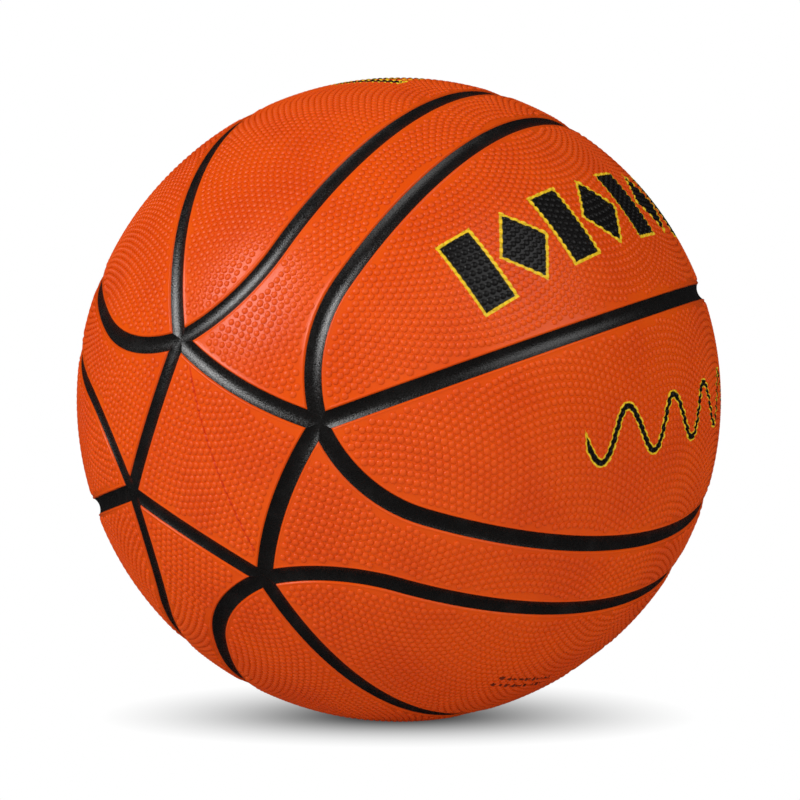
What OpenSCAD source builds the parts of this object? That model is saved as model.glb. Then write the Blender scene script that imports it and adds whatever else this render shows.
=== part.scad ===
// Rubber basketball, size 7. Fourteen moulded cover panels are parted by black
// channel strips and bonded over a rubber carcass, a wound thread layer and an
// air bladder with its valve. All lengths are in millimetres, and the origin is
// the ball's centre. +Z is up as the ball lies, and the front pole square faces -Y.

/* [Ball] */
// Outer diameter over the smooth panels
ball_d = 243; // [225:1:260]
// Thickness of the cover panels
cover_t = 1.7; // [1.5:0.05:2.5]
// Thickness of the rubber carcass under the cover
carcass_t = 0.6; // [0.4:0.05:1.5]
// Thickness of the wound thread layer
winding_t = 0.4; // [0.3:0.05:1]
// Wall of the air bladder
bladder_t = 0.6; // [0.4:0.05:1.5]
// Bond line left between neighbouring pieces
bond_gap = 0.05; // [0.03:0.01:0.1]

/* [Seam pattern, measured along the surface] */
// Width of a pole square, from seam centre to seam centre
square_w = 56; // [50:0.5:62]
// Diagonal of a pole square, from seam corner to seam corner
square_diagonal = 85.3; // [80:0.1:90]
// Width of a long strip panel at the equator, from seam centre to seam centre
strip_w = 26; // [20:0.5:32]
// Radius of the curve by which a strip panel flares out towards the pole squares
flare_r = 54; // [46:0.5:62]

/* [Channels] */
// Width of the black strip in the bottom of a channel
channel_strip_w = 5.7; // [4:0.1:8]
// Width of a channel's mouth, between the panels' top edges
channel_mouth_w = 6.9; // [6.9:0.1:10]
// Depth of a channel below the panels
channel_depth = 1.3; // [0.8:0.05:1.35]
// Length by which a strip's curved end runs into its straight length
lap_l = 0.5; // [0.3:0.1:1]
// How much slimmer the curved end is all round, so that it seats inside the straight length
lap_step = 0.02; // [0.01:0.01:0.04]

/* [Valve] */
// Diameter of the valve housing's stem
stem_d = 11; // [9:0.1:14]
// How far the stem's end lies below the panel
stem_recess = 0.4; // [0.2:0.05:0.6]
// Length of the stem inside the bladder, beyond the flange
stem_tail = 12; // [10:0.5:20]
// Diameter of the flange that is bonded to the bladder's inside
flange_d = 34; // [24:0.5:45]
// Thickness of that flange
flange_t = 1.2; // [0.8:0.1:2]
// Diameter of the plug that closes the stem
plug_d = 6; // [5:0.1:7]
// Diameter of the plug's head
plug_head_d = 8; // [7.5:0.1:8.5]
// Thickness of the plug's head
plug_head_t = 1.6; // [1:0.1:3]
// Length of the plug with its head
plug_l = 15; // [13:0.5:18]
// Diameter of the hole for the inflating needle
needle_d = 2; // [1.6:0.1:2.4]
// Length of the straight needle hole, below its funnel
needle_l = 9; // [6:0.5:11]
// Diameter of the funnel that leads the needle in
funnel_d = 3.6; // [3:0.1:5]
// Depth of that funnel
funnel_depth = 0.8; // [0.4:0.1:1.2]
// Diameter of the air hole in the stem's inner end
air_hole_d = 1.5; // [1:0.1:2.5]

/* [How the ball lies] */
// Dip of the front pole square below level, in degrees
lie_dip = 5; // [-90:1:90]
// Turn of the seam pattern about the pole axis, in degrees
lie_turn = -25; // [-180:1:180]

/* [Hidden] */
$fn = 240;
ORANGE = [0.84, 0.29, 0.07];
BLACK = [0.13, 0.11, 0.11];
POLE = [0, 0, 1];
STRIP = [1, 0, 0];
ACROSS = [0, -1, 0];
FRONT = 1;
BACK = -1;
POLES = [["front", FRONT], ["back", BACK]];
SIDES = [["left", -1], ["right", 1]];
QUARTERS = [1:4];
VALVE_QUARTER = 1;
VALVE_SIDE = -1;
quarter_turn = 90;
half_way_round = 180;

// Radii of the layers, from the outside in
ball_r = ball_d / 2;
cover_in_r = ball_r - cover_t;
carcass_out_r = cover_in_r - bond_gap;
carcass_in_r = carcass_out_r - carcass_t;
winding_out_r = carcass_in_r - bond_gap;
winding_in_r = winding_out_r - winding_t;
bladder_out_r = winding_in_r - bond_gap;
bladder_in_r = bladder_out_r - bladder_t;
reach_share = 1.25;
reach_r = ball_r * reach_share;
under_share = 0.9;
under_r = bladder_in_r * under_share;

// An arc length on the ball's surface as the angle that it spans at the centre
function spanned(arc) = arc / (PI * ball_d) * 360;
// Direction at a longitude about the pole axis and an angle from the pole
function pole_dir(turn, polar) = [sin(polar) * cos(turn), sin(polar) * sin(turn), cos(polar)];
// Direction along and across the first strip panel, both measured from its middle
function strip_dir(along, across) =
    [cos(along) * cos(across), sin(across), sin(along) * cos(across)];
function unit(v) = v / norm(v);
// Turn of a direction about an axis, counted from a side direction
function turn_about(axis, side, v) =
    atan2(v * unit(cross(axis, side)), v * unit(side - axis * (axis * side)));

// Seam circles of the first strip panel and the pole square at its end. Each
// seam is an arc of a circle on the sphere, given by its axis and polar angle.
level = 90;
band_half = spanned(channel_strip_w) / 2;
wall = channel_strip_w / 2;
strip_half = spanned(strip_w) / 2;
flare_polar = spanned(flare_r);
lap_turn = spanned(lap_l) / sin(flare_polar);
// A panel's ends reach into its straight part by a hair, so that they are one body at any size
join_l = 0.00002;
join_turn = spanned(join_l);
half_quarter = quarter_turn / 2;
corner_polar = spanned(square_diagonal) / 2;
corner = pole_dir(half_quarter, corner_polar);
corner_across = asin(corner.y);
middle_axis = [sin(half_quarter), -cos(half_quarter), 0];
flare_across = strip_half + flare_polar;
flare_along = atan2(corner.z, corner.x)
    - acos((cos(flare_polar) - corner.y * sin(flare_across))
        / (cos(flare_across) * norm([corner.x, corner.z])));
flare_axis = strip_dir(flare_along, flare_across);
edge_middle = pole_dir(0, spanned(square_w) / 2);
edge_chord = edge_middle - [corner.x, 0, corner.z];
edge_axis = unit([edge_chord.z, 0, -edge_chord.x]);
edge_polar = acos(edge_axis * edge_middle);

// Bearings at the corner where five seams meet, counted from the middle seam back
// to the strip panel's side seam and on to the pole square's edge
corner_south = pole_dir(half_quarter, corner_polar + level);
function bearing(v) = atan2(v * cross(corner, corner_south), v * corner_south);
side_bearing = bearing(cross(flare_axis, corner));
edge_bearing = bearing(cross(edge_axis, corner));
mitre_to_middle = side_bearing / 2;
mitre_to_edge = (side_bearing + edge_bearing) / 2;

// Round cutter that gives every channel its hollow section
channel_r = (pow(channel_mouth_w / 2, 2) + pow(channel_depth, 2)) / (2 * channel_depth);
channel_centre_r = ball_r - channel_depth + channel_r;

// The valve sits in the middle of a side panel, on the equator of the pattern
valve_turn = -(strip_half + half_quarter) / 2;
valve_dir = pole_dir(valve_turn, 90);
stem_top = ball_r - stem_recess;
stem_bottom = bladder_in_r - flange_t - stem_tail;

// Turns the Z axis onto an axis, with the X axis as near as can be to a side
module onto(axis, side) {
    z = unit(axis);
    y = unit(cross(z, side));
    x = cross(y, z);
    multmatrix([
        [x.x, y.x, z.x, 0],
        [x.y, y.y, z.y, 0],
        [x.z, y.z, z.z, 0],
        [0, 0, 0, 1]
    ]) children();
}

// The pattern's own frame, with the pole axis along Z, laid as the ball lies
module laid() {
    rotate([quarter_turn + lie_dip, 0, 0]) rotate([0, 0, lie_turn]) children();
}

module at_quarter(q) {
    rotate([0, 0, (q - 1) * quarter_turn]) children();
}

// Mirrors a piece made on the right-hand side onto the left
module on_side(side) {
    mirror([0, side < 0 ? 1 : 0, 0]) children();
}

// Mirrors a piece made at the front onto the back
module at_pole(pole) {
    mirror([0, 0, pole < 0 ? 1 : 0]) children();
}

module shell(outer, inner) {
    difference() {
        sphere(outer);
        sphere(inner);
    }
}

// Point of a section at a radius and a polar angle
function ray(r, polar) = r * [sin(polar), cos(polar)];

// Point beside a seam's ray, at a distance towards larger polar angles
function beside(r, polar, distance) = ray(r, polar) + distance * [cos(polar), -sin(polar)];

// Section of everything from one seam's wall to another's, under the layers to past the ball
module clearing_section(from, from_wall, to, to_wall) {
    polygon([
        beside(under_r, from, from_wall),
        beside(under_r, to, to_wall),
        beside(reach_r, to, to_wall),
        beside(reach_r, from, from_wall)
    ]);
}

// Section of the cover between two seams' walls
module cover_section(from, from_wall, to, to_wall) {
    intersection() {
        difference() {
            circle(ball_r);
            circle(cover_in_r);
        }
        clearing_section(from, from_wall, to, to_wall);
    }
}

// Section of the round cutter that hollows a channel
module channel_section(polar) {
    rotate(-polar) translate([0, channel_centre_r]) circle(channel_r);
}

// Section of the black strip in the bottom of a channel, taken in all round by an
// inset. Its underside is flat and touches the sphere inside the cover in the middle.
module strip_section(polar, inset) {
    half_w = wall - bond_gap / 2 - inset;
    rotate(-polar) difference() {
        translate([-half_w, cover_in_r + inset]) square([2 * half_w, cover_t]);
        translate([0, channel_centre_r]) circle(channel_r + inset);
    }
}

// Part of the cover between two places along the first strip and two across it
module cover_patch(along, across) {
    onto(ACROSS, STRIP) rotate_extrude(angle = along[1] - along[0], start = along[0])
        cover_section(level + across[0], 0, level + across[1], 0);
}

// Sweeps a section along the straight part of the first strip
module along_waist() {
    onto(ACROSS, STRIP) rotate_extrude(angle = 2 * flare_along, start = -flare_along) children();
}

// Cutter along a whole seam circle, which hollows the channel and clears
// everything between two polar angles. It starts and ends on its far side.
module seam_cutter(axis, far_side, polar, side, span) {
    onto(axis, far_side) rotate_extrude() {
        if (side > 0) clearing_section(polar - span, 0, polar, wall);
        else clearing_section(polar, -wall, polar + span, 0);
        channel_section(polar);
    }
}

// Everything between two bearings at the corner where five seams meet
module mitred(from, to) {
    onto(corner, corner_south) linear_extrude(2 * reach_r, center = true) polygon([
        [0, 0],
        reach_r * [cos(from), sin(from)],
        reach_r * [cos((from + to) / 2), sin((from + to) / 2)],
        reach_r * [cos(to), sin(to)]
    ]);
}

module edge_cutter(side) {
    seam_cutter(edge_axis, -POLE, edge_polar, side, corner_polar);
}

module flare_cutter(side) {
    seam_cutter(flare_axis, -ACROSS, flare_polar, side, corner_polar);
}

// Clears a side panel off the middle seam and everything beyond it
module middle_cutter() {
    seam_cutter(middle_axis, -STRIP, level, -1, half_quarter);
}

// The patch round a pole, cut along the first few edges of the pole square
module pole_square(edges) {
    if (edges > 0) difference() {
        pole_square(edges - 1);
        at_quarter(edges) edge_cutter(1);
    }
    else cover_patch([level - corner_polar, level + corner_polar], [-corner_polar, corner_polar]);
}

module pole_panel(pole) {
    color(ORANGE) at_pole(pole) pole_square(4);
}

module strip_panel_waist() {
    along_waist()
        difference() {
            cover_section(level - strip_half, wall, level + strip_half, -wall);
            channel_section(level - strip_half);
            channel_section(level + strip_half);
        }
}

module strip_panel_end() {
    difference() {
        difference() {
            difference() {
                cover_patch([flare_along - join_turn, level], [-corner_across, corner_across]);
                edge_cutter(-1);
            }
            flare_cutter(1);
        }
        on_side(-1) flare_cutter(1);
    }
}

module strip_panel(q) {
    color(ORANGE) at_quarter(q) {
        strip_panel_waist();
        for (pole = [FRONT, BACK]) at_pole(pole) strip_panel_end();
    }
}

module side_panel_waist() {
    difference() {
        along_waist()
            difference() {
                cover_section(level + strip_half, wall, level + half_quarter + strip_half, 0);
                channel_section(level + strip_half);
            }
        middle_cutter();
    }
}

module side_panel_end() {
    difference() {
        difference() {
            cover_patch([flare_along - join_turn, level - corner_across], [strip_half, flare_across]);
            flare_cutter(-1);
        }
        middle_cutter();
    }
}

module side_panel(q, side) {
    color(ORANGE) difference() {
        at_quarter(q) on_side(side) {
            side_panel_waist();
            for (pole = [FRONT, BACK]) at_pole(pole) side_panel_end();
        }
        if (q == VALVE_QUARTER && side == VALVE_SIDE) valve_hole();
    }
}

module square_channel(pole, q) {
    half_turn = abs(turn_about(edge_axis, POLE, corner)) + band_half;
    color(BLACK) at_pole(pole) at_quarter(q) intersection() {
        onto(edge_axis, POLE) rotate_extrude(angle = 2 * half_turn, start = -half_turn)
            strip_section(edge_polar, 0);
        mitred(-half_way_round, mitre_to_edge);
        on_side(-1) mitred(-half_way_round, mitre_to_edge);
    }
}

module strip_channel(q, side) {
    turn = -turn_about(flare_axis, ACROSS, corner) + band_half;
    color(BLACK) at_quarter(q) on_side(side) {
        along_waist() strip_section(level + strip_half, 0);
        for (pole = [FRONT, BACK]) at_pole(pole) intersection() {
            onto(flare_axis, ACROSS) rotate_extrude(angle = turn + lap_turn, start = -turn)
                strip_section(flare_polar, lap_step);
            mitred(mitre_to_edge, mitre_to_middle);
        }
    }
}

module middle_channel(q) {
    half_turn = level - corner_polar + band_half;
    color(BLACK) at_quarter(q) intersection() {
        onto(middle_axis, POLE)
            rotate_extrude(angle = 2 * half_turn, start = -level - half_turn)
                strip_section(level, 0);
        mitred(mitre_to_middle, -mitre_to_middle);
        at_pole(BACK) mitred(mitre_to_middle, -mitre_to_middle);
    }
}

module valve_hole() {
    onto(valve_dir, POLE) cylinder(h = reach_r, d = stem_d + 2 * bond_gap);
}

module carcass() {
    color("dimgray") difference() {
        shell(carcass_out_r, carcass_in_r);
        valve_hole();
    }
}

module thread_winding() {
    color("ivory") difference() {
        shell(winding_out_r, winding_in_r);
        valve_hole();
    }
}

module bladder() {
    color("darkslategray") difference() {
        shell(bladder_out_r, bladder_in_r);
        valve_hole();
    }
}

// The plug's outline, or the room for it when it is grown by the bond line
module plug_form(grow) {
    translate([0, 0, stem_top - plug_l - grow])
        cylinder(h = plug_l + 2 * grow, d = plug_d + 2 * grow);
    translate([0, 0, stem_top - plug_head_t - grow])
        cylinder(h = plug_head_t + 2 * grow, d = plug_head_d + 2 * grow);
}

module valve_housing() {
    flange_out_r = bladder_in_r - bond_gap;
    color(BLACK) onto(valve_dir, POLE) difference() {
        union() {
            translate([0, 0, stem_bottom])
                cylinder(h = stem_top - stem_bottom, d = stem_d);
            intersection() {
                shell(flange_out_r, flange_out_r - flange_t);
                cylinder(h = reach_r, d = flange_d);
            }
        }
        plug_form(bond_gap);
        cylinder(h = reach_r, d = air_hole_d);
    }
}

module valve_plug() {
    color(BLACK) onto(valve_dir, POLE) difference() {
        plug_form(0);
        translate([0, 0, stem_top - funnel_depth - needle_l])
            cylinder(h = reach_r, d = needle_d);
        translate([0, 0, stem_top - funnel_depth])
            cylinder(h = funnel_depth, d1 = needle_d, d2 = funnel_d);
    }
}

laid() bladder();
laid() thread_winding();
laid() carcass();
laid() valve_housing();
laid() valve_plug();
for (p = POLES)
    laid() pole_panel(p[1]);
for (q = QUARTERS)
    laid() strip_panel(q);
for (q = QUARTERS) for (s = SIDES)
    laid() side_panel(q, s[1]);
for (p = POLES) for (q = QUARTERS)
    laid() square_channel(p[1], q);
for (q = QUARTERS) for (s = SIDES)
    laid() strip_channel(q, s[1]);
for (q = QUARTERS)
    laid() middle_channel(q);
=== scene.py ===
"""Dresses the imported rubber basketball: moulded lips, pebbles, prints, valve ring, mould lines.

The cover panels and the black channel strips keep the shapes of their solids and get their
finishes here. Everything new follows the same seam circles, given by the same driving sizes.
Lengths are in metres and in the frame of the solids, but for the two sections that say so.
"""

from __future__ import annotations

import logging
import math
from dataclasses import dataclass, field
from enum import Enum
from typing import Any, Mapping, Sequence, Union

import bpy
import numpy as np
from mathutils import Matrix, Vector


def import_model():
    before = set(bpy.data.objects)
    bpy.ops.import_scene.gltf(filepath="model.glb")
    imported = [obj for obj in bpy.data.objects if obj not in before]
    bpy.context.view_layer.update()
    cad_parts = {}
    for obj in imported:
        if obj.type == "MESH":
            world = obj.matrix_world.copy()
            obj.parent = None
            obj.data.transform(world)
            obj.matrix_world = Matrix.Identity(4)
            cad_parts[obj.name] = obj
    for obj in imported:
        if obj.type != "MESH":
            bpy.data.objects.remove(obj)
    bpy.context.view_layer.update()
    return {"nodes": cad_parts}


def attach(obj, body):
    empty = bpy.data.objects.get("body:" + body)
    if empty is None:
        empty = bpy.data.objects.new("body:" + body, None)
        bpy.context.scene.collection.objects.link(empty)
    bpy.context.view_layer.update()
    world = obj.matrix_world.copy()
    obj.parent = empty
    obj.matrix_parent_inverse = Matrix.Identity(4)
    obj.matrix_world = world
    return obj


LOG = logging.getLogger("basketball")
MM = 0.001
NEAR_ZERO = 1e-9  # keeps divisions away from zero
NEAR_POLE = 0.9  # height on a unit ball above which a direction counts as near the pole
POLE_AXIS = np.array([0.0, 0.0, 1.0])
STRIP_AXIS = np.array([1.0, 0.0, 0.0])
ACROSS_AXIS = np.array([0.0, 1.0, 0.0])
TO_BACK = np.diag([1.0, 1.0, -1.0])
TO_LEFT = np.diag([1.0, -1.0, 1.0])
QUARTERS = (1, 2, 3, 4)
VALVE_PANEL = "side_panel_1_left"


class Slot(Enum):
    """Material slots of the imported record."""

    PANEL = "panel_rubber"
    CHANNEL = "channel_rubber"
    CARCASS = "carcass_rubber"
    WINDING = "winding_thread"
    BLADDER = "bladder_rubber"
    VALVE = "valve_rubber"

    @property
    def kind(self) -> str:
        """The word that the names of this slot's nodes have in common."""
        return self.value.split("_")[0]


class Pole(Enum):
    """The two pole squares, with the end of the pole axis that each is on."""

    FRONT = 1
    BACK = -1


class Side(Enum):
    """The two sides of a strip panel, with the side of its middle that each is on."""

    LEFT = -1
    RIGHT = 1


def unit(v: np.ndarray) -> np.ndarray:
    """Returns the vectors at length one."""
    return v / np.linalg.norm(v, axis=-1, keepdims=True)


def turned(axis: str, degrees: float) -> np.ndarray:
    """Returns the 3x3 matrix of a turn about X, Y or Z."""
    return np.array(Matrix.Rotation(math.radians(degrees), 3, axis))


@dataclass(frozen=True)
class BallSizes:
    """Driving sizes of the ball and its seam pattern, as the solids have them."""

    ball_d: float = 243 * MM
    square_w: float = 56 * MM
    square_diagonal: float = 85.3 * MM
    strip_w: float = 26 * MM
    flare_r: float = 54 * MM
    lie_dip: float = 5.0
    lie_turn: float = -25.0

    @property
    def radius(self) -> float:
        """Radius over the smooth panels."""
        return self.ball_d / 2

    @property
    def lay(self) -> np.ndarray:
        """Matrix that lays the seam pattern as the ball lies."""
        return turned("X", 90 + self.lie_dip) @ turned("Z", self.lie_turn)

    def spanned(self, arc: float) -> float:
        """Angle in radians that an arc length on the surface spans."""
        return arc / self.radius


@dataclass(frozen=True)
class Seam:
    """One seam as an arc of a circle on the sphere, seen from the panel beside it.

    The panel is on the side of larger polar angles when side is 1, else on the other.
    """

    axis: np.ndarray
    polar: float
    side: int

    def circle(self, offset: float, radius: float) -> float:
        """Returns the cosine of the polar angle at a distance from the seam, inside its panel."""
        return math.cos(self.polar + self.side * math.asin(offset / radius))

    def moved(self, matrix: np.ndarray) -> "Seam":
        """Returns the seam turned or mirrored by a matrix."""
        return Seam(matrix @ self.axis, self.polar, self.side)


def meeting(a: Seam, b: Seam, near: np.ndarray, offset: float, radius: float) -> np.ndarray:
    """Finds where two seams' lines meet at one distance from both.

    Args:
        a: The first seam.
        b: The second seam.
        near: A point close to the wanted meeting point.
        offset: Distance from both seams.
        radius: The ball's radius.

    Returns:
        The direction of the meeting point; for seams that touch, of the touching point.
    """
    ca, cb, dot = a.circle(offset, radius), b.circle(offset, radius), float(a.axis @ b.axis)
    base = ((ca - cb * dot) * a.axis + (cb - ca * dot) * b.axis) / (1 - dot * dot)
    across = np.cross(a.axis, b.axis)
    rise = math.sqrt(max(0.0, 1 - float(base @ base))) / np.linalg.norm(across)
    found = [unit(base + sign * rise * across) for sign in (1, -1)]
    return max(found, key=lambda point: float(point @ near))


@dataclass(frozen=True)
class Outline:
    """The closed row of seams round one panel; corner i is where seam i starts."""

    seams: tuple[Seam, ...]
    corners: tuple[np.ndarray, ...]
    radius: float

    def moved(self, matrix: np.ndarray) -> "Outline":
        """Returns the outline turned or mirrored by a matrix."""
        return Outline(tuple(seam.moved(matrix) for seam in self.seams),
                       tuple(matrix @ corner for corner in self.corners), self.radius)

    def line(self, offset: float, spacing: float) -> np.ndarray:
        """Returns directions along the line at one distance inside the seams.

        Args:
            offset: Distance from the seams' middle lines.
            spacing: Length between points, measured on the seams themselves, so that lines
                at different distances have the same number of points.

        Returns:
            An array of directions, one row each, that goes once round the panel.
        """
        count = len(self.seams)
        ends = [meeting(self.seams[i - 1], self.seams[i], self.corners[i], offset, self.radius)
                for i in range(count)]
        points = []
        for i, seam in enumerate(self.seams):
            following = (i + 1) % count
            arc = self._turn(seam, self.corners[i], self.corners[following])[1]
            steps = max(2, round(arc * self.radius / spacing))
            sweep = self._turn(seam, ends[i], ends[following])[0]
            along = seam.axis * seam.circle(offset, self.radius)
            out = ends[i] - along
            beside = np.cross(seam.axis, out)
            turns = sweep * np.arange(steps)[:, None] / steps
            points.append(along + out * np.cos(turns) + beside * np.sin(turns))
        return np.concatenate(points)

    @staticmethod
    def _turn(seam: Seam, start: np.ndarray, end: np.ndarray) -> tuple[float, float]:
        """Measures the way along a seam.

        Args:
            seam: The seam.
            start: A direction at the start.
            end: A direction at the end.

        Returns:
            The turn about the seam's axis in radians, and the arc's length on a unit ball.
        """
        flat = [p - seam.axis * (p @ seam.axis) for p in (start, end)]
        sweep = math.atan2(float(seam.axis @ np.cross(*flat)), float(flat[0] @ flat[1]))
        return sweep, abs(sweep) * math.sin(seam.polar)


class SeamPattern:
    """All seams and panels of the ball, made from the driving sizes."""

    def __init__(self, sizes: BallSizes) -> None:
        """Works out the seam circles of the first strip panel and the square at its end.

        Args:
            sizes: The driving sizes.
        """
        self.sizes = sizes
        span = sizes.spanned
        self.strip_half = span(sizes.strip_w) / 2
        self.flare_polar = span(sizes.flare_r)
        self.corner = self.pole_dir(math.pi / 4, span(sizes.square_diagonal) / 2)
        across = self.strip_half + self.flare_polar
        x, y, z = self.corner
        rise = math.cos(self.flare_polar) - y * math.sin(across)
        self.flare_along = math.atan2(z, x) - math.acos(
            rise / (math.cos(across) * math.hypot(x, z)))
        self.flare_axis = self.strip_dir(self.flare_along, across)
        edge_middle = self.pole_dir(0, span(sizes.square_w) / 2)
        chord = edge_middle - np.array([x, 0, z])
        self.edge_axis = unit(np.array([chord[2], 0, -chord[0]]))
        self.edge_polar = math.acos(float(self.edge_axis @ edge_middle))
        self.middle_axis = np.array([math.sqrt(0.5), -math.sqrt(0.5), 0])

    @staticmethod
    def pole_dir(turn: float, polar: float) -> np.ndarray:
        """Direction at a longitude about the pole axis and an angle from the pole."""
        return np.array([math.sin(polar) * math.cos(turn), math.sin(polar) * math.sin(turn),
                         math.cos(polar)])

    @staticmethod
    def strip_dir(along: float, across: float) -> np.ndarray:
        """Direction along and across the first strip panel, both measured from its middle."""
        return np.array([math.cos(along) * math.cos(across), math.sin(across),
                         math.sin(along) * math.cos(across)])

    def pole_outline(self) -> Outline:
        """Works out the front pole square.

        Returns:
            Its outline, round from the corner before the first strip panel.
        """
        turns = [turned("Z", 90.0 * k) for k in range(4)]
        return Outline(tuple(Seam(t @ self.edge_axis, self.edge_polar, 1) for t in turns),
                       tuple(t @ turned("Z", -90.0) @ self.corner for t in turns),
                       self.sizes.radius)

    def strip_outline(self) -> Outline:
        """Works out the first strip panel.

        Returns:
            Its outline, round from its front right corner.
        """
        waist, flare, touch = self._long_seams(1)
        edge = Seam(self.edge_axis, self.edge_polar, -1)
        both = TO_LEFT @ TO_BACK
        return self._outline([
            (flare, self.corner), (waist, touch), (flare.moved(TO_BACK), TO_BACK @ touch),
            (edge.moved(TO_BACK), TO_BACK @ self.corner), (flare.moved(both), both @ self.corner),
            (waist.moved(TO_LEFT), both @ touch), (flare.moved(TO_LEFT), TO_LEFT @ touch),
            (edge, TO_LEFT @ self.corner)])

    def side_outline(self) -> Outline:
        """Works out the side panel right of the first strip panel.

        Returns:
            Its outline, round from its front corner.
        """
        waist, flare, touch = self._long_seams(-1)
        middle = Seam(self.middle_axis, math.pi / 2, -1)
        return self._outline([
            (flare, self.corner), (waist, touch), (flare.moved(TO_BACK), TO_BACK @ touch),
            (middle, TO_BACK @ self.corner)])

    def _long_seams(self, side: int) -> tuple[Seam, Seam, np.ndarray]:
        """Works out the seams right of the first strip panel.

        Args:
            side: 1 for the strip panel's own side of them, -1 for the side panel's.

        Returns:
            The waist, the front flare and the direction where they touch.
        """
        waist = Seam(ACROSS_AXIS, math.pi / 2 - self.strip_half, side)
        flare = Seam(self.flare_axis, self.flare_polar, side)
        return waist, flare, self.strip_dir(self.flare_along, self.strip_half)

    def _outline(self, parts: Sequence[tuple[Seam, np.ndarray]]) -> Outline:
        """Returns the outline of seams with their starting corners."""
        return Outline(tuple(p[0] for p in parts), tuple(p[1] for p in parts), self.sizes.radius)

    def valve_dir(self) -> np.ndarray:
        """Direction of the valve, in the middle of the panel that VALVE_PANEL names."""
        return self.sizes.lay @ self.pole_dir(-(self.strip_half + math.pi / 4) / 2, math.pi / 2)


@dataclass(frozen=True)
class PanelPlace:
    """One cover panel: its node, the shape that it shares and the matrix that places it."""

    node: str
    shape: str
    matrix: np.ndarray


def select_only(piece: bpy.types.Object) -> None:
    """Deselects everything and makes one piece active and selected.

    Args:
        piece: The piece.
    """
    bpy.ops.object.select_all(action="DESELECT")
    piece.select_set(True)
    bpy.context.view_layer.objects.active = piece


def linked(name: str, data: bpy.types.ID) -> bpy.types.Object:
    """Puts a mesh, lamp or camera into the scene.

    Args:
        name: The object's name.
        data: The mesh, lamp or camera.

    Returns:
        The new object, at the origin.
    """
    piece = bpy.data.objects.new(name, data)
    bpy.context.scene.collection.objects.link(piece)
    return piece


def shade_smooth(piece: bpy.types.Object, crease: float) -> None:
    """Shades a piece smooth, but for edges that bend by more than an angle in degrees."""
    select_only(piece)
    bpy.ops.object.shade_smooth_by_angle(angle=math.radians(crease))


def on_cover(piece: bpy.types.Object, finish: bpy.types.Material) -> bpy.types.Object:
    """Gives a new piece of the cover its finish and body.

    Args:
        piece: The finished piece.
        finish: The cover's material.

    Returns:
        The same piece.
    """
    piece.data.materials.append(finish)
    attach(piece, "root")
    return piece


def new_piece(name: str, points: np.ndarray, faces: Sequence[Sequence[int]]) -> bpy.types.Object:
    """Makes a piece of a mesh whose place is in its points.

    Args:
        name: The piece's name.
        points: One row for each point, in metres.
        faces: The points of each face.

    Returns:
        The new object, with its faces turned outwards.
    """
    mesh = bpy.data.meshes.new(name)
    mesh.from_pydata([tuple(p) for p in points.tolist()], [], faces)
    piece = linked(name, mesh)
    select_only(piece)
    bpy.ops.object.mode_set(mode="EDIT")
    bpy.ops.mesh.select_all(action="SELECT")
    bpy.ops.mesh.normals_make_consistent(inside=False)
    bpy.ops.object.mode_set(mode="OBJECT")
    return piece


def lofted(name: str, rings: Sequence[np.ndarray], round_trip: bool) -> bpy.types.Object:
    """Skins rows of points that run side by side into one closed bead.

    Args:
        name: The piece's name.
        rings: The rows, in order round the bead's section.
        round_trip: Whether the bead's ends meet; else flat faces close them.

    Returns:
        The new object.
    """
    rows, count = len(rings), len(rings[0])
    faces: list[list[int]] = []
    for r in range(rows):
        following = (r + 1) % rows
        for i in range(count if round_trip else count - 1):
            j = (i + 1) % count
            faces.append([r * count + i, r * count + j,
                          following * count + j, following * count + i])
    if not round_trip:
        faces.append([r * count for r in range(rows)])
        faces.append([r * count + count - 1 for r in reversed(range(rows))])
    return new_piece(name, np.concatenate(list(rings)), faces)


@dataclass(frozen=True)
class LipSizes:
    """Section of the raised lip round a panel, in millimetres from the seam and over the panel."""

    section: tuple[tuple[float, float], ...] = (
        (2.87, -0.44), (2.96, -0.22), (3.08, -0.02), (3.22, 0.11), (3.4, 0.16), (3.58, 0.12),
        (3.74, 0.04), (3.95, 0.0), (4.4, 0.01), (4.9, -0.06), (4.6, -0.3), (3.7, -0.4),
        (3.05, -0.6))
    spacing: float = 1.4 * MM
    crease: float = 50.0


@dataclass(frozen=True)
class PebbleSizes:
    """Sizes of the moulded pebbles, and how they are spread over a panel.

    Each ring of a pebble is a share of its diameter and a share of its height.
    """

    diameter: float = 2.4 * MM
    height: float = 0.48 * MM
    foot: float = 0.12 * MM
    sides: int = 8
    rings: tuple[tuple[float, float], ...] = ((0.88, 0.38), (0.5, 0.82))
    variation: float = 0.05
    pitch: float = 2.6 * MM
    from_seam: float = 5.2 * MM
    around_valve: float = 10.5 * MM
    border_step: float = 1.0 * MM
    seeded_reach: float = 1.5
    rounds: int = 40
    crowding: float = 1.02
    nudge: float = 0.28


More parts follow.
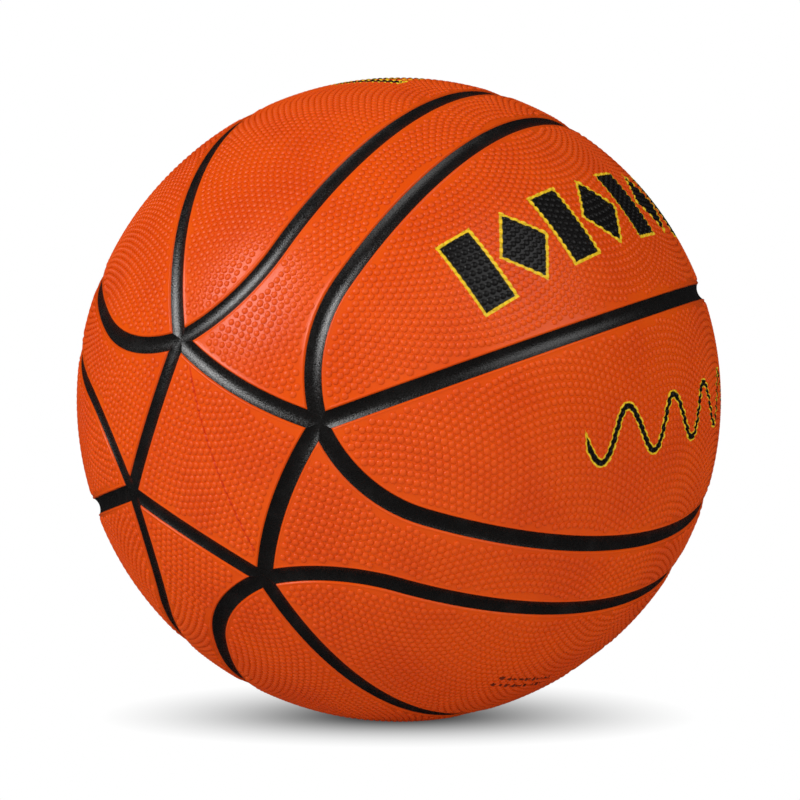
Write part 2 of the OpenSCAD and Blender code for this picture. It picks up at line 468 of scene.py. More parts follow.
@dataclass(frozen=True)
class FlatMap:
    """A flat map of a panel, with true distances from the panel's middle."""

    middle: np.ndarray
    side: np.ndarray
    up: np.ndarray

    @classmethod
    def around(cls, border: np.ndarray) -> "FlatMap":
        """Makes the map of a panel.

        Args:
            border: Directions along the panel's edge, one row each.

        Returns:
            The map, with its middle in the middle of the panel.
        """
        middle = unit(border.mean(0))
        side = unit(np.cross(middle, POLE_AXIS if abs(middle[2]) < NEAR_POLE else STRIP_AXIS))
        return cls(middle, side, np.cross(side, middle))

    def flat(self, points: np.ndarray) -> np.ndarray:
        """Lays directions out on the map.

        Args:
            points: The directions, one row each.

        Returns:
            Their places on the map, as angles from its middle, one row each.
        """
        height, far = points @ self.middle, np.stack([points @ self.side, points @ self.up], 1)
        reach = np.linalg.norm(far, axis=1, keepdims=True)
        return far / np.maximum(reach, NEAR_ZERO) * np.arccos(np.clip(height, -1, 1))[:, None]

    def rows(self, pitch: float, reach: float) -> np.ndarray:
        """Lays staggered rows of directions round the map's middle.

        Args:
            pitch: Angle between neighbours.
            reach: Angle from the middle to the farthest directions.

        Returns:
            The directions, one row each.
        """
        bands = []
        for row, b in enumerate(np.arange(-math.pi / 2, math.pi / 2, pitch * math.sqrt(0.75))):
            step = pitch / math.cos(b)
            a = np.arange(-math.pi, math.pi - step / 2, step) + (row % 2) * step / 2
            bands.append(np.stack([np.cos(b) * np.sin(a), np.full_like(a, math.sin(b)),
                                   np.cos(b) * np.cos(a)], 1))
        grid = np.concatenate(bands)
        points = grid[:, :1] * self.side + grid[:, 1:2] * self.up + grid[:, 2:3] * self.middle
        return points[points @ self.middle > math.cos(reach)]


@dataclass
class PebbledPanels:
    """The raised lips and moulded pebbles of the fourteen cover panels."""

    pattern: SeamPattern
    finish: bpy.types.Material
    lip: LipSizes = field(default_factory=LipSizes)
    pebble: PebbleSizes = field(default_factory=PebbleSizes)

    def places(self) -> list[PanelPlace]:
        """Lists the panels.

        Returns:
            Every panel with the shape that it shares and its place on the ball.
        """
        lay = self.pattern.sizes.lay
        found = [PanelPlace(f"pole_panel_{pole.name.lower()}", "pole",
                            lay @ np.diag([1, 1, pole.value])) for pole in Pole]
        for q in QUARTERS:
            quarter = lay @ turned("Z", 90.0 * (q - 1))
            found.append(PanelPlace(f"strip_panel_{q}", "strip", quarter))
            found += [PanelPlace(f"side_panel_{q}_{side.name.lower()}", "side",
                                 quarter @ np.diag([1, side.value, 1])) for side in Side]
        return found

    def build(self) -> list[bpy.types.Object]:
        """Works out the pebbles of each panel shape once and models every panel's relief.

        Returns:
            The new pieces, a lip and the pebbles for each panel.
        """
        outlines = {"pole": self.pattern.pole_outline(), "strip": self.pattern.strip_outline(),
                    "side": self.pattern.side_outline()}
        centres = {name: self.pebble_centres(outline) for name, outline in outlines.items()}
        dome, dome_faces = self.pebble_dome()
        made = []
        for place in self.places():
            outline = outlines[place.shape].moved(place.matrix)
            made.append(on_cover(self.lip_bead(place.node, outline), self.finish))
            points = centres[place.shape] @ place.matrix.T
            piece = self.pebbles(place.node, points, dome, dome_faces)
            made.append(on_cover(piece, self.finish))
        return made

    def lip_bead(self, node: str, outline: Outline) -> bpy.types.Object:
        """Makes the lip that runs round one panel, above its mouth edges.

        Args:
            node: The panel's node.
            outline: The panel's seams, where it lies on the ball.

        Returns:
            The lip as one closed bead.
        """
        radius = self.pattern.sizes.radius
        rings = [outline.line(offset * MM, self.lip.spacing) * (radius + height * MM)
                 for offset, height in self.lip.section]
        piece = lofted(f"lip_{node}", rings, round_trip=True)
        shade_smooth(piece, self.lip.crease)
        return piece

    def pebble_dome(self) -> tuple[np.ndarray, list[list[int]]]:
        """Models one pebble: a low dome with a closed foot below the panel's surface.

        Returns:
            Its points, with the panel's surface at height zero, and its faces.
        """
        size = self.pebble
        bpy.ops.object.select_all(action="DESELECT")
        bpy.ops.mesh.primitive_circle_add(vertices=size.sides, radius=size.diameter / 2,
                                          fill_type="NGON", location=(0, 0, -size.foot))
        piece = bpy.context.object
        bpy.ops.object.mode_set(mode="EDIT")
        bpy.ops.mesh.select_all(action="SELECT")
        level, share = -size.foot, 1.0
        for ring_share, ring_height in size.rings:
            rise = ring_height * size.height - level
            bpy.ops.mesh.extrude_region_move(TRANSFORM_OT_translate={"value": (0, 0, rise)})
            bpy.ops.transform.resize(value=(ring_share / share, ring_share / share, 1))
            level, share = ring_height * size.height, ring_share
        bpy.ops.mesh.poke(offset=size.height - level)
        bpy.ops.object.mode_set(mode="OBJECT")
        bpy.ops.object.transform_apply(location=True, rotation=True, scale=True)
        points = np.array([v.co for v in piece.data.vertices])
        faces = [list(p.vertices) for p in piece.data.polygons]
        bpy.data.objects.remove(piece)
        return points, faces

    def pebble_centres(self, outline: Outline) -> np.ndarray:
        """Spreads pebbles over a panel until they are even and line up along its edges.

        Args:
            outline: The panel's seams, in the pattern's own frame.

        Returns:
            Directions of the pebbles' middles, one row each.
        """
        size = self.pebble
        border = outline.line(size.from_seam, size.border_step)
        chart = FlatMap.around(border)
        edge = chart.flat(border)
        pitch = size.pitch / self.pattern.sizes.radius
        points = chart.rows(pitch, np.abs(edge).max() * size.seeded_reach)
        points = points[self.inside(chart.flat(points), edge)]
        for _ in range(size.rounds):
            gap = points[:, None] - points[None]
            apart = np.linalg.norm(gap, axis=2) + NEAR_ZERO
            np.fill_diagonal(apart, np.inf)
            push = np.clip(pitch * size.crowding - apart, 0, None) / apart
            moved = unit(points + size.nudge * (gap * push[:, :, None]).sum(1))
            nearest = border[np.argmax(moved @ border.T, axis=1)]
            within = self.inside(chart.flat(moved), edge)
            points = np.where(within[:, None], moved, nearest)
        return points

    @staticmethod
    def inside(points: np.ndarray, edge: np.ndarray) -> np.ndarray:
        """Tells which points of a flat map lie within a closed line on it.

        Args:
            points: The points, one row each.
            edge: The line's points in order, one row each.

        Returns:
            One truth value for each point.
        """
        x, y = points[:, :1], points[:, 1:2]
        x1, y1 = edge[:, 0], edge[:, 1]
        x2, y2 = np.roll(x1, -1), np.roll(y1, -1)
        crosses = (y1 > y) != (y2 > y)
        rise = np.where(y2 == y1, NEAR_ZERO, y2 - y1)
        return (np.sum(crosses & (x < (x2 - x1) * (y - y1) / rise + x1), axis=1) % 2) == 1

    def pebbles(self, node: str, centres: np.ndarray, dome: np.ndarray,
                dome_faces: list[list[int]]) -> bpy.types.Object:
        """Copies the dome to every centre of one panel, each a little different in size and turn.

        Args:
            node: The panel's node.
            centres: Directions of the pebbles' middles.
            dome: Points of one pebble.
            dome_faces: Faces of one pebble.

        Returns:
            One piece with all the pebbles of the panel.
        """
        size, radius = self.pebble, self.pattern.sizes.radius
        if node == VALVE_PANEL:
            reach = np.arccos(np.clip(centres @ self.pattern.valve_dir(), -1, 1)) * radius
            centres = centres[reach > size.around_valve]
        count = len(centres)
        chance = np.random.default_rng(len(node) + count)
        turn = chance.uniform(0, 2 * math.pi, count)[:, None, None]
        grow = 1 + size.variation * chance.standard_normal(count)[:, None, None]
        helper = np.where(np.abs(centres[:, 2:3]) < NEAR_POLE, POLE_AXIS, STRIP_AXIS)
        one = unit(np.cross(helper, centres))[:, None]
        two = np.cross(centres[:, None], one)
        a, b = dome[None, :, :1] * grow, dome[None, :, 1:2] * grow
        across = a * np.cos(turn) - b * np.sin(turn)
        along = a * np.sin(turn) + b * np.cos(turn)
        points = unit(centres[:, None] + (across * one + along * two) / radius)
        points = (points * (radius + dome[None, :, 2:3])).reshape(-1, 3)
        faces = [[i * len(dome) + v for v in face] for i in range(count) for face in dome_faces]
        mesh = bpy.data.meshes.new(f"pebbles_{node}")
        mesh.from_pydata([tuple(p) for p in points.tolist()], [], faces)
        mesh.polygons.foreach_set("use_smooth", [True] * len(mesh.polygons))
        LOG.info("%s: %d pebbles", node, count)
        return linked(mesh.name, mesh)


@dataclass
class MouldLines:
    """The thin raised line that the mould's parting leaves across each pole square.

    Its shoulders are a share of its half width and a share of its height.
    """

    pattern: SeamPattern
    finish: bpy.types.Material
    half_width: float = 0.22 * MM
    height: float = 0.1 * MM
    shoulder: tuple[float, float] = (0.55, 0.7)
    foot: float = 0.12 * MM
    shift: float = 3.0 * MM
    end: float = 9.5 * MM
    steps: int = 72
    crease: float = 60.0

    def build(self) -> list[bpy.types.Object]:
        """Models the line across the front square and mirrors it to the back.

        Returns:
            The two new pieces.
        """
        pattern, radius = self.pattern, self.pattern.sizes.radius
        reach = math.acos(float(pattern.corner[2])) - self.end / radius
        angles = np.linspace(-reach, reach, self.steps)[:, None]
        along = np.cos(angles) * POLE_AXIS - np.sin(angles) * pattern.middle_axis
        beside = np.abs(pattern.middle_axis)
        out, low = self.shoulder
        section = ((-1.0, -self.foot), (-out, self.height * low), (0.0, self.height),
                   (out, self.height * low), (1.0, -self.foot))
        made = []
        for pole in Pole:
            matrix = pattern.sizes.lay @ np.diag([1, 1, pole.value])
            rings = [unit(along + beside * (self.shift + share * self.half_width) / radius)
                     @ matrix.T * (radius + height) for share, height in section]
            piece = lofted(f"mould_line_{pole.name.lower()}", rings, round_trip=False)
            shade_smooth(piece, self.crease)
            made.append(on_cover(piece, self.finish))
        return made


@dataclass
class ValveRing:
    """The smooth raised ring that is moulded round the valve's stem.

    Its section is in millimetres from the valve's axis and over the ball.
    """

    pattern: SeamPattern
    finish: bpy.types.Material
    section: tuple[tuple[float, float], ...] = (
        (5.62, -0.5), (5.66, -0.1), (5.85, 0.16), (6.3, 0.3), (6.9, 0.26), (7.4, 0.1), (8.2, 0.0),
        (9.2, -0.07), (8.8, -0.35), (6.4, -0.6))
    steps: int = 72
    merged_under: float = 0.001 * MM
    crease: float = 50.0

    def build(self) -> list[bpy.types.Object]:
        """Spins the ring's section about the valve's axis and sets it round the stem.

        Returns:
            The new piece, in a list.
        """
        radius = self.pattern.sizes.radius
        points = [(r * MM, 0.0, math.sqrt(radius ** 2 - (r * MM) ** 2) + height * MM)
                  for r, height in self.section]
        mesh = bpy.data.meshes.new("valve_ring")
        mesh.from_pydata(points, [(i, (i + 1) % len(points)) for i in range(len(points))], [])
        piece = linked(mesh.name, mesh)
        select_only(piece)
        bpy.ops.object.mode_set(mode="EDIT")
        bpy.ops.mesh.select_all(action="SELECT")
        bpy.ops.mesh.spin(steps=self.steps, angle=2 * math.pi, center=(0, 0, 0), axis=(0, 0, 1))
        bpy.ops.mesh.select_all(action="SELECT")
        bpy.ops.mesh.remove_doubles(threshold=self.merged_under)
        bpy.ops.mesh.normals_make_consistent(inside=False)
        bpy.ops.object.mode_set(mode="OBJECT")
        turn = Vector(self.pattern.valve_dir()).to_track_quat("Z", "Y").to_matrix().to_4x4()
        piece.data.transform(turn)
        shade_smooth(piece, self.crease)
        return [on_cover(piece, self.finish)]


Number = Union["Signal", float]


@dataclass(frozen=True)
class Signal:
    """A number that changes over a surface, with arithmetic that adds its Math nodes."""

    sheet: "NodeSheet"
    socket: bpy.types.NodeSocket

    def _math(self, operation: str, *values: Number) -> "Signal":
        """Returns one Math node's result."""
        return self.sheet.add("ShaderNodeMath", {"operation": operation}, dict(enumerate(values)))

    def __add__(self, other: Number) -> "Signal":
        """Sum."""
        return self._math("ADD", self, other)

    def __radd__(self, other: Number) -> "Signal":
        """Sum."""
        return self._math("ADD", other, self)

    def __sub__(self, other: Number) -> "Signal":
        """Difference."""
        return self._math("SUBTRACT", self, other)

    def __rsub__(self, other: Number) -> "Signal":
        """Difference."""
        return self._math("SUBTRACT", other, self)

    def __mul__(self, other: Number) -> "Signal":
        """Product."""
        return self._math("MULTIPLY", self, other)

    def __truediv__(self, other: Number) -> "Signal":
        """Quotient."""
        return self._math("DIVIDE", self, other)

    def __rtruediv__(self, other: Number) -> "Signal":
        """Quotient."""
        return self._math("DIVIDE", other, self)

    def __abs__(self) -> "Signal":
        """Size without its sign."""
        return self._math("ABSOLUTE", self)

    def sine(self) -> "Signal":
        """Sine of an angle in radians."""
        return self._math("SINE", self)

    def root(self) -> "Signal":
        """Square root."""
        return self._math("SQRT", self)

    def arcsine(self) -> "Signal":
        """Angle in radians of a sine."""
        return self._math("ARCSINE", self)

    def angle_to(self, other: "Signal") -> "Signal":
        """Angle in radians whose tangent is this over the other."""
        return self._math("ARCTAN2", self, other)

    def fold(self, half: float) -> "Signal":
        """Distance to the nearest whole multiple of twice a length."""
        return self._math("PINGPONG", self, half)

    def larger(self, other: Number) -> "Signal":
        """The larger of two."""
        return self._math("MAXIMUM", self, other)

    def smaller(self, other: Number) -> "Signal":
        """The smaller of two."""
        return self._math("MINIMUM", self, other)

    def between(self, low: float, high: float, start: float = 0.0, end: float = 1.0) -> "Signal":
        """Goes smoothly from start to end as this goes from low to high.

        Args:
            low: The value up to which the result is start.
            high: The value from which the result is end.
            start: The first result.
            end: The last result.

        Returns:
            The result as a signal.
        """
        return self.sheet.add(
            "ShaderNodeMapRange", {"interpolation_type": "SMOOTHSTEP", "clamp": True},
            {"Value": self, "From Min": low, "From Max": high, "To Min": start, "To Max": end},
            "Result")


class NodeSheet:
    """The nodes of one material on Object coordinates, all made by one method."""

    def __init__(self, name: str) -> None:
        """Starts a material.

        Args:
            name: The material's name.
        """
        self.material = bpy.data.materials.new(name)
        self.material.use_nodes = True
        self.tree = self.material.node_tree
        self.tree.nodes.clear()
        self.output = self.tree.nodes.new("ShaderNodeOutputMaterial")
        self.place = self.add("ShaderNodeTexCoord", output="Object")

    def add(self, kind: str, settings: Mapping[str, Any] | None = None,
            inputs: Mapping[str | int, Any] | None = None, output: str | int = 0) -> Signal:
        """Adds one node.

        Args:
            kind: The node's type.
            settings: Its own settings, set before its sockets.
            inputs: Values or signals for its sockets, by name or number.
            output: The wanted output socket.

        Returns:
            The output as a signal.
        """
        node = self.tree.nodes.new(kind)
        for name, value in (settings or {}).items():
            setattr(node, name, value)
        for key, value in (inputs or {}).items():
            if isinstance(value, Signal):
                self.tree.links.new(value.socket, node.inputs[key])
            else:
                node.inputs[key].default_value = value
        return Signal(self, node.outputs[output])

    def dot(self, axis: Sequence[float]) -> Signal:
        """How far a point lies along an axis."""
        return self.add("ShaderNodeVectorMath", {"operation": "DOT_PRODUCT"},
                        {0: self.place, 1: tuple(float(x) for x in axis)}, "Value")

    def length(self) -> Signal:
        """Distance of a point from the ball's centre."""
        return self.add("ShaderNodeVectorMath", {"operation": "LENGTH"}, {0: self.place}, "Value")

    def noise(self, scale: float, detail: float = 3.0, rough: float = 0.55) -> Signal:
        """Cloudy noise from 0 to 1."""
        return self.add("ShaderNodeTexNoise", {}, {"Vector": self.place, "Scale": scale,
                                                   "Detail": detail, "Roughness": rough})

    def mix(self, share: Number, first: Any, second: Any) -> Signal:
        """Mixes two colours."""
        return self.add("ShaderNodeMix", {"data_type": "RGBA"}, {0: share, 6: first, 7: second}, 2)

    def bump(self, height: Signal, distance: float, strength: float) -> Signal:
        """Normal of a surface raised by a height signal."""
        return self.add("ShaderNodeBump", {}, {"Height": height, "Distance": distance,
                                               "Strength": strength}, "Normal")

    def principled(self, inputs: Mapping[str, Any]) -> bpy.types.Material:
        """Ends the material with one Principled shader.

        Args:
            inputs: Values or signals for the shader's sockets, by name.

        Returns:
            The finished material.
        """
        shader = self.add("ShaderNodeBsdfPrincipled", {}, inputs)
        self.tree.links.new(shader.socket, self.output.inputs["Surface"])
        return self.material


Colour = tuple[float, float, float, float]
BLACK: Colour = (0, 0, 0, 1)
WHITE: Colour = (1, 1, 1, 1)


@dataclass(frozen=True)
class PrintPlace:
    """Where a print lies: the middle of its side panel, and its two directions on the ball."""

    azimuth: float
    pattern: SeamPattern

    def axes(self) -> tuple[np.ndarray, np.ndarray, np.ndarray]:
        """Works out the print's directions.

        Returns:
            The directions along the print, across it and out of its middle.
        """
        lay = self.pattern.sizes.lay
        out = lay @ self.pattern.pole_dir(math.radians(self.azimuth), math.pi / 2)
        along = lay @ -POLE_AXIS
        return along, np.cross(out, along), out

    def lengths(self, sheet: NodeSheet) -> tuple[Signal, Signal]:
        """Measures where a point lies on the print.

        Args:
            sheet: The material's nodes.

        Returns:
            Distances along and across the print from its middle, on the surface.
        """
        radius = self.pattern.sizes.radius
        along, across, out = self.axes()
        ahead = sheet.dot(along).angle_to(sheet.dot(out)) * radius
        beside = (sheet.dot(across) / radius).arcsine() * radius
        return ahead, beside


@dataclass(frozen=True)
class BarPrint:
    """A plain row of upright bars and lozenges in turn, with a bright outline."""

    place: PrintPlace
    height: float = 28 * MM
    pitch: float = 40 * MM
    bar: float = 14 * MM
    lozenge: float = 22 * MM
    bars: int = 5
    lift: float = -3.5 * MM

    def distance(self, sheet: NodeSheet) -> Signal:
        """Measures how far a point is from the print.

        Args:
            sheet: The material's nodes.

        Returns:
            Distance to the nearest bar's edge, below zero inside it.
        """
        along, across = self.place.lengths(sheet)
        rise = abs(across - self.lift)
        bar = along.fold(self.pitch / 2) - self.bar / 2
        lean = self.lozenge / self.height
        tip = (along + self.pitch / 2).fold(self.pitch / 2) - self.lozenge / 2 + rise * lean
        ends = abs(along) - (self.pitch * (self.bars - 1) + self.bar) / 2
        return bar.smaller(tip / math.hypot(1, lean)).larger(rise - self.height / 2).larger(ends)


@dataclass(frozen=True)
class WavePrint:
    """A thin plain wave line with a bright outline."""

    place: PrintPlace
    length: float = 124 * MM
    wave: float = 25 * MM
    swing: float = 8.5 * MM
    stroke: float = 1.9 * MM

    def distance(self, sheet: NodeSheet) -> Signal:
        """Measures how far a point is from the print.

        Args:
            sheet: The material's nodes.

        Returns:
            Distance to the line's edge, below zero inside it.
        """
        along, across = self.place.lengths(sheet)
        turn = along * (2 * math.pi / self.wave)
        steep = self.swing * 2 * math.pi / self.wave
        slope = (turn + math.pi / 2).sine() * steep
        off = abs(across - turn.sine() * self.swing) / (slope * slope + 1.0).root()
        return (off - self.stroke / 2).larger(abs(along) - self.length / 2)


@dataclass(frozen=True)
class DashPrint:
    """Two short rows of small plain dashes."""

    place: PrintPlace
    start: float = -56 * MM
    end: float = -28 * MM
    row: float = 4.6 * MM
    pitch: float = 3.4 * MM
    dash: float = 2.3 * MM
    stroke: float = 1.5 * MM
    lift: float = -3.5 * MM

    def distance(self, sheet: NodeSheet) -> Signal:
        """Measures how far a point is from the print.

        Args:
            sheet: The material's nodes.

        Returns:
            Distance to the nearest dash's edge, below zero inside it.
        """
        along, across = self.place.lengths(sheet)
        rows = abs(abs(across - self.lift) - self.row / 2) - self.stroke / 2
        dashes = along.fold(self.pitch / 2) - self.dash / 2
        ends = abs(along - (self.start + self.end) / 2) - (self.end - self.start) / 2
        return rows.larger(dashes).larger(ends)


@dataclass(frozen=True)
class PanelRubber:
    """Glossy moulded orange rubber with its plain prints and the mould's parting lines."""

    pattern: SeamPattern
    orange: Colour = (0.81, 0.086, 0.001, 1)
    deep: Colour = (0.75, 0.069, 0.0006, 1)
    parting: Colour = (0.6, 0.022, 0.002, 1)
    black: Colour = (0.008, 0.0072, 0.0072, 1)
    yellow: Colour = (0.86, 0.57, 0.016, 1)
    bold_azimuth: float = 64.4
    top_azimuth: float = 115.6
    wave_azimuth: float = 26.3
    dash_azimuth: float = -25.6
    outline: float = 1.05 * MM
    thin_outline: float = 0.55 * MM
    blur: float = 0.12 * MM
    dash_ink: float = 0.82
    parting_ink: float = 0.7
    parting_reach: tuple[float, float] = (0.2 * MM, 0.45 * MM)
    parting_fade: float = 0.5 * MM
    cloud_scale: float = 34.0
    grain_scale: float = 900.0
    raised: tuple[float, float] = (0.05 * MM, 0.3 * MM)
    rough: float = 0.18
    rough_cloud: float = 0.08
    rough_raised: float = 0.1
    rough_grain: float = 0.06
    specular: float = 0.32
    relief: float = 0.05 * MM
    relief_share: float = 0.6

    def material(self) -> bpy.types.Material:
        """Builds the nodes.

        Returns:
            The finished material.
        """
        sheet = NodeSheet("panel_rubber_moulded")
        cloud = sheet.noise(self.cloud_scale, detail=4.0)
        grain = sheet.noise(self.grain_scale, rough=0.6)
        raised = (sheet.length() - self.pattern.sizes.radius).between(*self.raised)
        base = sheet.mix(cloud.between(0.35, 0.7), self.orange, self.deep)
        yellow, black = self.prints(sheet)
        painted = sheet.mix(yellow, base, self.yellow)
        painted = sheet.mix(black, painted, self.black)
        parting = self.parting_line(sheet) * self.parting_ink
        painted = sheet.mix(parting, painted, self.parting)
        gloss = (self.rough + cloud * self.rough_cloud + raised * self.rough_raised
                 + grain * self.rough_grain)
        return sheet.principled({
            "Base Color": painted, "Roughness": gloss, "Specular IOR Level": self.specular,
            "Normal": sheet.bump(grain + cloud, self.relief, self.relief_share)})

    def prints(self, sheet: NodeSheet) -> tuple[Signal, Signal]:
        """Draws the plain prints.

        Args:
            sheet: The material's nodes.

        Returns:
            Where the prints with their outlines lie, and where their black lies, from 0 to 1.
        """
        bold = BarPrint(PrintPlace(self.bold_azimuth, self.pattern))
        top = BarPrint(PrintPlace(self.top_azimuth, self.pattern), height=30 * MM, pitch=15 * MM,
                       bar=6 * MM, lozenge=8 * MM, bars=3)
        bars = bold.distance(sheet).smaller(top.distance(sheet))
        line = WavePrint(PrintPlace(self.wave_azimuth, self.pattern)).distance(sheet)
        dashes = DashPrint(PrintPlace(self.dash_azimuth, self.pattern)).distance(sheet)
        yellow = self.inside(bars, 0.0).larger(self.inside(line, self.thin_outline))
        black = self.inside(bars, -self.outline).larger(self.inside(line, 0.0))
        return yellow, black.larger(dashes.between(-self.blur, self.blur, self.dash_ink, 0))

    def inside(self, distance: Signal, limit: float) -> Signal:
        """Where a distance is under a limit, from 0 to 1 with a slight blur."""
        return distance.between(limit - self.blur, limit + self.blur, 1, 0)

    def parting_line(self, sheet: NodeSheet) -> Signal:
        """Finds the mould's parting line on the pole squares.

        Args:
            sheet: The material's nodes.

        Returns:
            Where the line is, from 0 to 1.
        """
        lay, radius = self.pattern.sizes.lay, self.pattern.sizes.radius
        beside = sheet.dot(lay @ np.abs(self.pattern.middle_axis)) - MouldLines.shift
        near = abs(beside).between(*self.parting_reach, 1.0, 0.0)
        reach = math.acos(float(self.pattern.corner[2])) - MouldLines.end / radius
        height = radius * math.cos(reach)
        return near * abs(sheet.dot(lay @ POLE_AXIS)).between(
            height, height + self.parting_fade)


@dataclass(frozen=True)
class ChannelRubber:
    """Black rubber of the channel strips, semi-gloss with a fine moulded grain."""

    black: Colour = (0.0075, 0.0068, 0.0066, 1)
    worn: Colour = (0.013, 0.012, 0.0117, 1)
    cloud_scale: float = 120.0
    grain_scale: float = 1900.0
    ripple_scale: float = 700.0
    rough: float = 0.1
    rough_cloud: float = 0.08
    rough_grain: float = 0.22
    specular: float = 0.85
    relief: float = 0.12 * MM
    relief_ripple: float = 0.4
    relief_share: float = 0.9

    def material(self) -> bpy.types.Material:
        """Builds the nodes.

        Returns:
            The finished material.
        """
        sheet = NodeSheet("channel_rubber_moulded")
        cloud = sheet.noise(self.cloud_scale, detail=4.0)
        grain = sheet.noise(self.grain_scale, rough=0.65)
        ripple = sheet.noise(self.ripple_scale, rough=0.7)
        base = sheet.mix(cloud.between(0.45, 0.75), self.black, self.worn)
        gloss = (self.rough + cloud * self.rough_cloud
                 + grain.between(0.42, 0.6) * self.rough_grain)
        return sheet.principled({
            "Base Color": base, "Roughness": gloss, "Specular IOR Level": self.specular,
            "Normal": sheet.bump(grain + ripple * self.relief_ripple, self.relief,
                                 self.relief_share)})


@dataclass(frozen=True)
class PlainRubber:
    """Matt rubber of the inner layers and the valve."""

    name: str
    colour: Colour
    rough: float
    cloud_scale: float = 60.0
    rough_cloud: float = 0.1
    grain_scale: float = 1200.0
    specular: float = 0.4
    relief: float = 0.05 * MM
    relief_share: float = 0.5

    def material(self) -> bpy.types.Material:
        """Builds the nodes.

        Returns:
            The finished material.
        """
        sheet = NodeSheet(self.name)
        cloud = sheet.noise(self.cloud_scale, detail=4.0)
        lighter = tuple(min(1.0, c * 1.5 + 0.004) for c in self.colour[:3]) + (1.0,)
        return sheet.principled({
            "Base Color": sheet.mix(cloud.between(0.3, 0.8), self.colour, lighter),
            "Roughness": self.rough + cloud * self.rough_cloud,
            "Specular IOR Level": self.specular,
            "Normal": sheet.bump(sheet.noise(self.grain_scale), self.relief,
                                 self.relief_share)})


@dataclass(frozen=True)
class WoundThread:
    """Pale nylon thread wound round the ball in crossing layers."""

    pale: Colour = (0.72, 0.68, 0.58, 1)
    dark: Colour = (0.34, 0.3, 0.24, 1)
    winds: tuple[tuple[float, float, float], ...] = (
        (0.9, 0.1, 0.42), (-0.3, 0.85, 0.43), (0.2, -0.5, 0.84))
    half_pitch: float = 0.45 * MM
    rough: float = 0.75
    rough_thread: float = 0.1
    specular: float = 0.3
    relief: float = 0.2 * MM
    relief_share: float = 0.6

    def material(self) -> bpy.types.Material:
        """Builds crossing bands of thread.

        Returns:
            The finished material.
        """
        sheet = NodeSheet("winding_thread_wound")
        threads: Signal | None = None
        for axis in self.winds:
            along = sheet.dot(unit(np.array(axis)))
            wave = along.fold(self.half_pitch) / self.half_pitch
            threads = wave if threads is None else threads.larger(wave)
        return sheet.principled({
            "Base Color": sheet.mix(threads.between(0.2, 0.9), self.dark, self.pale),
            "Roughness": self.rough + threads * self.rough_thread,
            "Specular IOR Level": self.specular,
            "Normal": sheet.bump(threads, self.relief, self.relief_share)})


@dataclass
class SolidFinishes:
    """Gives every carried-over solid its finish."""

    nodes: Mapping[str, bpy.types.Object]
    cover: bpy.types.Material

    def apply(self) -> None:
        """Assigns the finishes by the kind of node."""
        finishes = {
            Slot.PANEL: self.cover,
            Slot.CHANNEL: ChannelRubber().material(),
            Slot.CARCASS: PlainRubber("carcass_rubber_plain", colour=(0.035, 0.033, 0.031, 1),
                                      rough=0.6).material(),
            Slot.BLADDER: PlainRubber("bladder_rubber_plain", colour=(0.02, 0.021, 0.022, 1),
                                      rough=0.45).material(),
            Slot.VALVE: PlainRubber("valve_rubber_plain", colour=(0.014, 0.013, 0.013, 1),
                                    rough=0.4).material(),
            Slot.WINDING: WoundThread().material(),
        }
        for name, piece in self.nodes.items():
            finish = next(made for slot, made in finishes.items() if slot.kind in name)
            for spot in piece.material_slots:
                spot.material = finish
            LOG.info("%s: %s", name, finish.name)


@dataclass(frozen=True)
class Softbox:
    """A large soft lamp, set from the ball to the camera's right, up and towards the camera."""

    name: str
    toward: tuple[float, float, float]
    distance: float
    size: float
    power: float
    mirrored: bool = False

    def build(self, axes: Matrix) -> bpy.types.Object:
        """Adds the lamp, turned to the ball's centre.

        Args:
            axes: The camera's axes.

        Returns:
            The new lamp.
        """
        lamp = bpy.data.lights.new(self.name, "AREA")
        lamp.shape, lamp.size, lamp.energy = "DISK", self.size, self.power
        piece = linked(self.name, lamp)
        out = (axes @ Vector(self.toward)).normalized()
        piece.location = out * self.distance
        piece.rotation_euler = out.to_track_quat("Z", "Y").to_euler()
        piece.visible_glossy = self.mirrored
        return piece


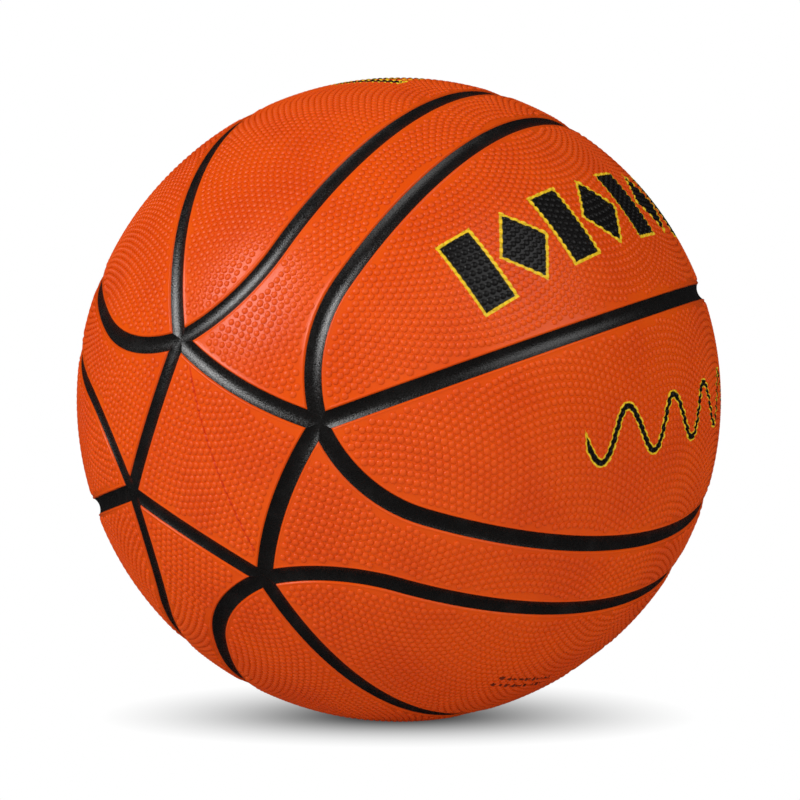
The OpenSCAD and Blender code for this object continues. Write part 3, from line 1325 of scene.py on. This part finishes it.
@dataclass(frozen=True)
class Studio:
    """Camera, plain pale floor, white surroundings and soft lamps.

    Towards the camera the floor is white, with the ball's soft shadow painted in as a plain
    formula: a painted round shade that is drawn out to the sides and lies a little towards the
    camera. Its sizes are shares of the height of the ball's middle. Reflections see floor and
    surroundings at the mirrored level, which is dark, because the rubber mirrors little but its
    lamps.
    """

    azimuth: float = 30.79
    elevation: float = 5.62
    distance: float = 0.642
    lens: float = 74.95
    sensor: float = 36.0
    shift: tuple[float, float] = (0.0015, -0.0005)
    clip: tuple[float, float] = (0.05, 50.0)
    floor_level: float = -0.122
    floor_radius: float = 6.0
    floor_sides: int = 96
    floor_grey: Colour = (0.82, 0.82, 0.82, 1)
    ambient: float = 0.31
    mirrored: float = 0.012
    shade_gain: float = 1.176
    shade_reach: float = 1.547
    shade_ahead: float = 0.078
    shade_front: float = 0.546
    shade_back: float = 0.696
    shade_blend: float = 0.1
    lamps: tuple[Softbox, ...] = (
        Softbox("key_softbox", (-0.72, 0.5, 0.48), distance=1.6, size=0.9, power=13.2,
                mirrored=True),
        Softbox("side_softbox", (0.62, 0.58, 0.54), distance=1.6, size=1.2, power=4.8,
                mirrored=True),
        Softbox("front_softbox", (0.1, 0.3, 0.95), distance=2.0, size=1.6, power=10.0),
    )

    def build(self) -> None:
        """Adds the whole studio."""
        scene = bpy.context.scene
        scene.view_settings.view_transform = "Standard"
        axes = self.camera()
        self.floor()
        self.world()
        for lamp in self.lamps:
            lamp.build(axes)

    def camera(self) -> Matrix:
        """Adds the camera at the photograph's angle.

        Returns:
            Its axes: right, up and back towards the viewer.
        """
        a, e = math.radians(self.azimuth), math.radians(self.elevation)
        back = Vector((math.sin(a) * math.cos(e), -math.cos(a) * math.cos(e), math.sin(e)))
        data = bpy.data.cameras.new("camera")
        data.lens, data.sensor_width = self.lens, self.sensor
        data.shift_x, data.shift_y = self.shift
        data.clip_start, data.clip_end = self.clip
        piece = linked("camera", data)
        piece.location = back * self.distance
        turn = (-back).to_track_quat("-Z", "Y")
        piece.rotation_euler = turn.to_euler()
        bpy.context.scene.camera = piece
        return turn.to_matrix()

    def floor(self) -> None:
        """Adds the pale floor, white to the camera but for the ball's shadow, which is painted
        into its glow.
        """
        bpy.ops.object.select_all(action="DESELECT")
        bpy.ops.mesh.primitive_circle_add(vertices=self.floor_sides, radius=self.floor_radius,
                                          fill_type="NGON")
        piece = bpy.context.object
        piece.location = (0, 0, self.floor_level)
        piece.name = "floor"
        sheet = NodeSheet("studio_floor")
        seen = sheet.add("ShaderNodeLightPath", output="Is Camera Ray")
        mirrored = sheet.add("ShaderNodeLightPath", output="Is Glossy Ray")
        # Painted shadow: the camera sees only this glow, white but for the ball's shadow drawn by
        # formula.
        glow = seen * self.painted_shadow_white(sheet) + mirrored * self.mirrored
        piece.data.materials.append(sheet.principled({
            "Base Color": sheet.mix(seen.larger(mirrored), self.floor_grey, BLACK),
            "Roughness": 1.0, "Specular IOR Level": 0.0, "Emission Strength": 1.0,
            "Emission Color": sheet.mix(glow, BLACK, WHITE)}))

    def painted_shadow_white(self, sheet: NodeSheet) -> Signal:
        """Works out the ball's painted soft shadow on the floor, as a formula of place.

        Args:
            sheet: The floor's nodes.

        Returns:
            How white the floor is to the camera, from 0 to 1.
        """
        turn, radius = math.radians(self.azimuth), -self.floor_level
        rightwards = (math.cos(turn), math.sin(turn), 0)
        forwards = (math.sin(turn), -math.cos(turn), 0)
        side = sheet.dot(rightwards) / (radius * self.shade_reach)
        ahead = sheet.dot(forwards) / radius - self.shade_ahead
        depth = ahead / ahead.between(-self.shade_blend, self.shade_blend,
                                      self.shade_back, self.shade_front)
        spread = side * side + depth * depth + 1.0
        cube = spread * spread * spread
        return ((1.0 - 1.0 / (cube * cube)) * self.shade_gain).smaller(1.0)

    def world(self) -> None:
        """Surrounds the ball with even light that the camera sees as white."""
        world = bpy.data.worlds.new("studio")
        bpy.context.scene.world = world
        world.use_nodes = True
        tree = world.node_tree
        back = tree.nodes["Background"]
        path = tree.nodes.new("ShaderNodeLightPath")
        strength: bpy.types.NodeSocket | None = None
        for ray, level in (("Is Camera Ray", 1.0), ("Is Diffuse Ray", self.ambient),
                           ("Is Glossy Ray", self.mirrored)):
            share = tree.nodes.new("ShaderNodeMath")
            share.operation = "MULTIPLY_ADD"
            tree.links.new(path.outputs[ray], share.inputs[0])
            share.inputs[1].default_value = level
            share.inputs[2].default_value = 0.0
            if strength is not None:
                tree.links.new(strength, share.inputs[2])
            strength = share.outputs[0]
        tree.links.new(strength, back.inputs["Strength"])
        back.inputs["Color"].default_value = WHITE


def main() -> None:
    """Builds the ball's dress and its studio, in order."""
    logging.basicConfig(level=logging.INFO, format="%(name)s %(message)s")
    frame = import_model()
    pattern = SeamPattern(BallSizes())
    cover = PanelRubber(pattern).material()
    SolidFinishes(frame["nodes"], cover).apply()
    for part in (PebbledPanels, MouldLines, ValveRing):
        for piece in part(pattern, cover).build():
            LOG.info("%s: %d faces", piece.name, len(piece.data.polygons))
    Studio().build()


if __name__ == "__main__":
    main()
